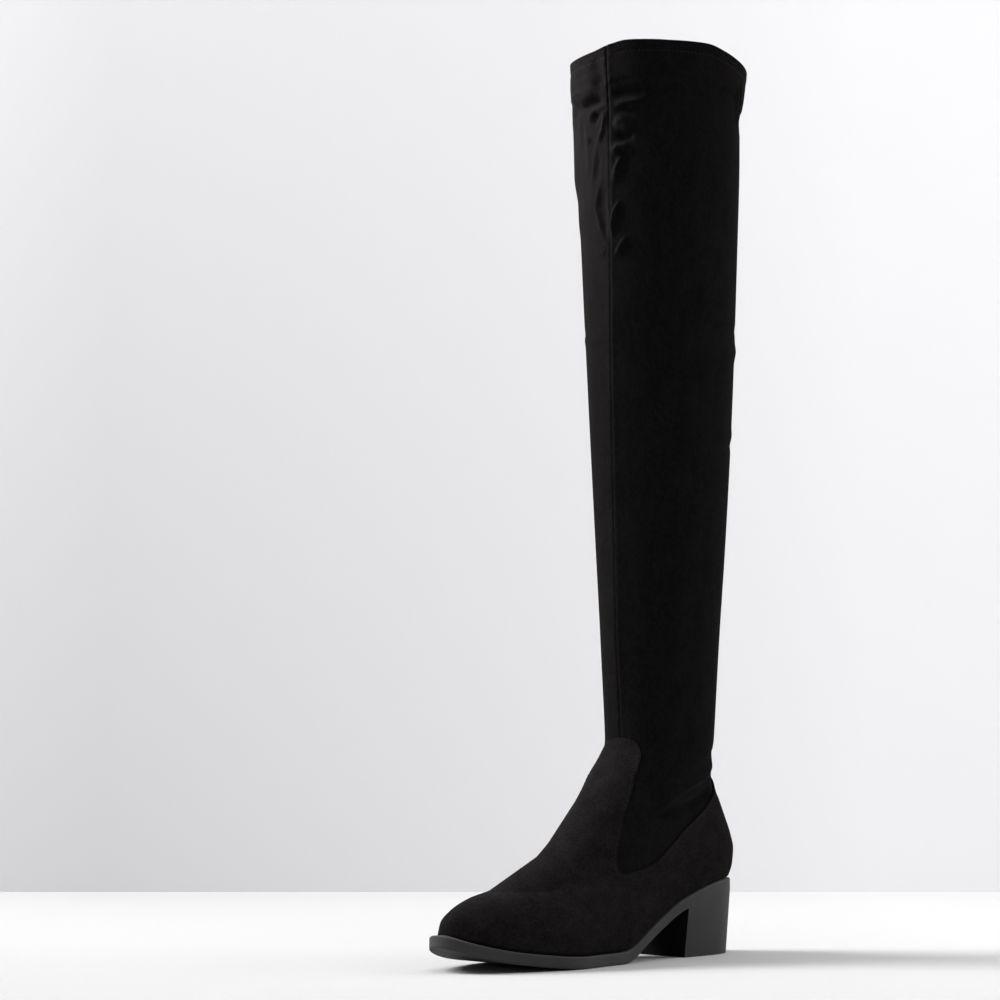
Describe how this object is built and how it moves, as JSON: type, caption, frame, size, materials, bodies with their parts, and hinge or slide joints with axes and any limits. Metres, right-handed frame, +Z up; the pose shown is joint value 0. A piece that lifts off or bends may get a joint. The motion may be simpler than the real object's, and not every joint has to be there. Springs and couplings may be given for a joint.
{
  "type": "thigh high boot",
  "caption": "Left thigh-high pull-on boot with a slim stretch shaft, a tongue-shaped vamp, an almond toe and a moulded sole with a block heel.",
  "frame": {"origin": "centre of the heel's flat base, on the floor", "axes": "+Z up along the shaft, toe towards -Y, outer side of the left foot towards +X"},
  "size_m": [0.116, 0.2665, 0.606],
  "materials": {
    "sole": "satin black, moulded",
    "insole": "black textile lining",
    "shaft_suede": "black stretch suede",
    "vamp_suede": "black suede with a short nap"
  },
  "bodies": {
    "root": {"outsole": "sole", "insole": "insole", "upper": "shaft_suede", "vamp": "vamp_suede"}
  },
  "joints": []
}
